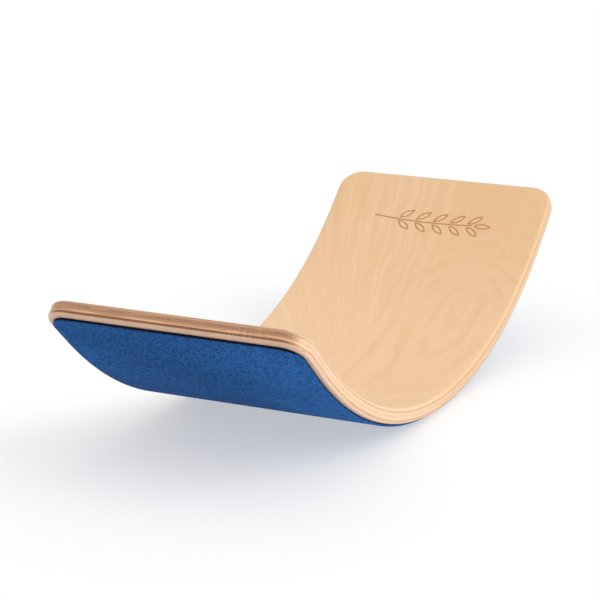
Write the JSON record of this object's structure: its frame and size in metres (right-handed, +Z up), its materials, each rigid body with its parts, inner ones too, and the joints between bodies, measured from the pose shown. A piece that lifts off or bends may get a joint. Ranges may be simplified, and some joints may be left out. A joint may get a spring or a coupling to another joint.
{
  "type": "balance board",
  "caption": "Curved rocker balance board of moulded plywood with rounded corners and edges, and a felt sheet glued underneath, bare wood left around it.",
  "frame": {"origin": "on the floor under the middle of the board, where the felt touches when the board lies level", "axes": "+X along the board towards the engraved end, +Y across it, +Z up; both ends rise the same"},
  "size_m": [0.8, 0.3, 0.189],
  "materials": {
    "face_veneer": "fine sanded, clear satin lacquer",
    "core_veneer": "sanded ply edges, clear satin lacquer",
    "adhesive": "thin dark glue film",
    "felt": "needled wool-blend felt, heathered blue"
  },
  "bodies": {
    "root": {"top_face_veneer": "face_veneer", "core_ply_1": "core_veneer", "core_ply_2": "core_veneer", "core_ply_3": "core_veneer", "core_ply_4": "core_veneer", "core_ply_5": "core_veneer", "bottom_face_veneer": "face_veneer", "felt_adhesive_film": "adhesive", "felt_pad": "felt"}
  },
  "joints": []
}
